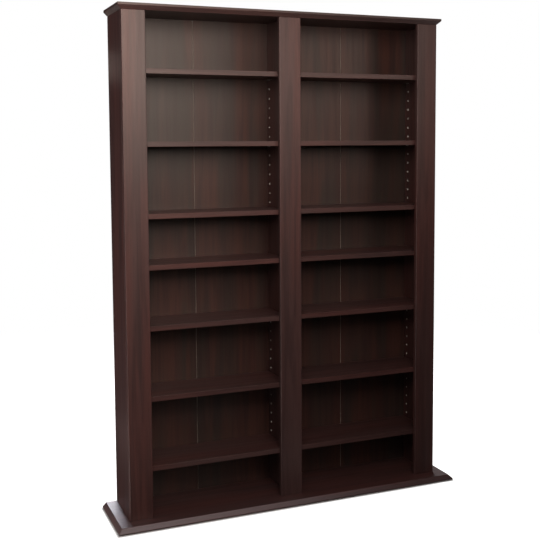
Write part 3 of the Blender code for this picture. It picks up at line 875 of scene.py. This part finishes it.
# Painted contact shadow: the floor's glow is taken away under the base board and in a narrow band round its
# footprint, so a thin dark line shows along its foot.
spot = add_node(tree, "ShaderNodeVectorMath", {0: place}, operation="ABSOLUTE").outputs["Vector"]
from_base = {0: spot, 1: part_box("base_board")[1]}
beyond = add_node(tree, "ShaderNodeVectorMath", from_base, operation="SUBTRACT").outputs["Vector"]
beyond = add_node(tree, "ShaderNodeSeparateXYZ", {"Vector": beyond}).outputs
outside_painted_shadow = between(tree, maths(tree, "MAXIMUM", beyond["X"], beyond["Y"]), 0.0, PAINTED_SHADOW_WIDTH)
glow = maths(tree, "MULTIPLY", between(tree, fade, 0.0, 1.0, FLOOR_GLOW, 1.0), outside_painted_shadow)
glow = maths(tree, "MULTIPLY", glow, seen_directly(tree))
pale = between(tree, seen_directly(tree), 0.0, 1.0, FLOOR_LIT, FLOOR_SEEN)
pale = add_node(tree, "ShaderNodeCombineColor", {"Red": pale, "Green": pale, "Blue": pale}).outputs["Color"]
tree.links.new(blended(tree, fade, pale, (0.0, 0.0, 0.0, 1.0)), shader.inputs["Base Color"])
tree.links.new(glow, shader.inputs["Emission Strength"])
shader.inputs["Emission Color"].default_value = (1.0, 1.0, 1.0, 1.0)
shader.inputs["Roughness"].default_value = 1.0
shader.inputs["Specular IOR Level"].default_value = 0.0
floor_mesh.materials.append(paper)


def soft_lamp(name, spot, aim, size, power, colour=PLAIN_LIGHT, spread=180):
    """A flat rectangular lamp that faces a point. Its spread is the full angle of its light, in degrees."""
    data = bpy.data.lights.new(name, "AREA")
    data.shape, data.size, data.size_y, data.energy = "RECTANGLE", *size, power
    data.color, data.spread = colour, math.radians(spread)
    lamp = bpy.data.objects.new(name, data)
    bpy.context.scene.collection.objects.link(lamp)
    lamp.location = spot
    lamp.rotation_euler = (Vector(aim) - Vector(spot)).to_track_quat("-Z", "Y").to_euler()
    lamp.visible_camera = False
    return lamp


soft_lamp("key", spot=(-0.67, -1.64, 1.82), aim=(-0.667, 0.0, 1.776), size=(1.40, 1.085), power=21.2,
          colour=WARM_LIGHT, spread=136)
soft_lamp("side", spot=(-3.01, 0.13, 0.71), aim=(-0.55, 0.03, 0.8), size=(1.2, 1.2), power=23.7)
soft_lamp("fill", spot=(0.98, -2.06, 1.72), aim=(-0.544, 0.0, 1.389), size=(1.4, 1.0), power=1.5,
          colour=WARM_LIGHT, spread=51.6)
soft_lamp("low", spot=(-0.313, -2.50, 1.40), aim=(-0.894, 0.0, 0.04), size=(1.0, 1.0), power=2.06,
          colour=WARM_LIGHT, spread=68.5)
soft_lamp("rear", spot=(0.8, 2.4, 2.9), aim=(0.0, 0.0, 0.8), size=(2.4, 2.4), power=105.0)


def card(name, corners, glow=0.0, tint=PLAIN_LIGHT):
    """A card that shows only in reflections: black, or with a glow that puts a sheen on a satin board."""
    paper = bpy.data.meshes.new(name)
    paper.from_pydata(corners, [], [range(len(corners))])
    material, _, shader = new_material(name)
    shader.inputs["Base Color"].default_value = (0.02, 0.02, 0.02, 1.0)
    shader.inputs["Emission Color"].default_value = (*tint, 1.0)
    shader.inputs["Emission Strength"].default_value = glow
    shader.inputs["Roughness"].default_value = 1.0
    shader.inputs["Specular IOR Level"].default_value = 0.0
    paper.materials.append(material)
    piece = bpy.data.objects.new(name, paper)
    bpy.context.scene.collection.objects.link(piece)
    piece.visible_camera = piece.visible_diffuse = False
    piece.visible_transmission = piece.visible_shadow = False
    return piece


def flat(x, y, z):
    """The corners of a flat rectangle. X has two ends, and so has either Y or Z; the other is one place."""
    y, z = (ends if isinstance(ends, tuple) else (ends, ends) for ends in (y, z))
    return [(x[i], y[j], z[j]) for i, j in ((0, 0), (1, 0), (1, 1), (0, 1))]


FAR = 6.0
FRONT = -3.4
PANEL_LINE = -0.556
BLACK_BEHIND = 0.55
PALE_BEHIND = 0.545
BLACK_ON_FLOOR = 0.002
PALE_ON_FLOOR = 0.003
BEHIND_HEIGHT = (0.001, 5.0)
ROUND_THE_BASE = ((-3.0, -0.06), (-0.605, -0.06), (-0.605, 0.125), (PANEL_LINE, 0.125),
                  (PANEL_LINE, BLACK_BEHIND), (-3.0, BLACK_BEHIND))
card("card behind left", flat((-FAR, PANEL_LINE), BLACK_BEHIND, BEHIND_HEIGHT))
card("low warm card", flat((-1.0, -0.82), PALE_BEHIND, (0.02, 0.15)), glow=1.1, tint=(1.0, 0.76, 0.72))
card("card behind right", flat((-PANEL_LINE, FAR), BLACK_BEHIND, BEHIND_HEIGHT))
card("card before", flat((-0.75, FAR), (FRONT, -0.125), BLACK_ON_FLOOR))
card("card at the left", [(x, y, BLACK_ON_FLOOR) for x, y in ROUND_THE_BASE])
card("card above right", flat((1.2, FAR), (FRONT, 0.5), 2.5))
card("upper warm card", flat((-0.70, -0.57), PALE_BEHIND, (1.43, 1.53)), glow=0.5, tint=(1.0, 0.85, 0.76))
card("pale card", flat((-0.35, 0.35), (-0.6, -0.3), PALE_ON_FLOOR), glow=0.3)
card("sheen card", flat((PANEL_LINE, -0.510), PALE_BEHIND, (0.10, 0.50)), glow=19.0, tint=(0.87, 0.89, 1.0))
# A glowing card on the floor, seen only in reflections: a painted highlight down the left-facing rounded
# edges of the stiles.
card("painted edge highlight card", flat((-1.2, -0.7), (-0.42, -0.09), PALE_ON_FLOOR), glow=5.5)
card("card in front", flat((-3.0, FAR), FRONT, (0.0, 4.0)))

view = bpy.context.scene.view_settings
view.view_transform = "Standard"
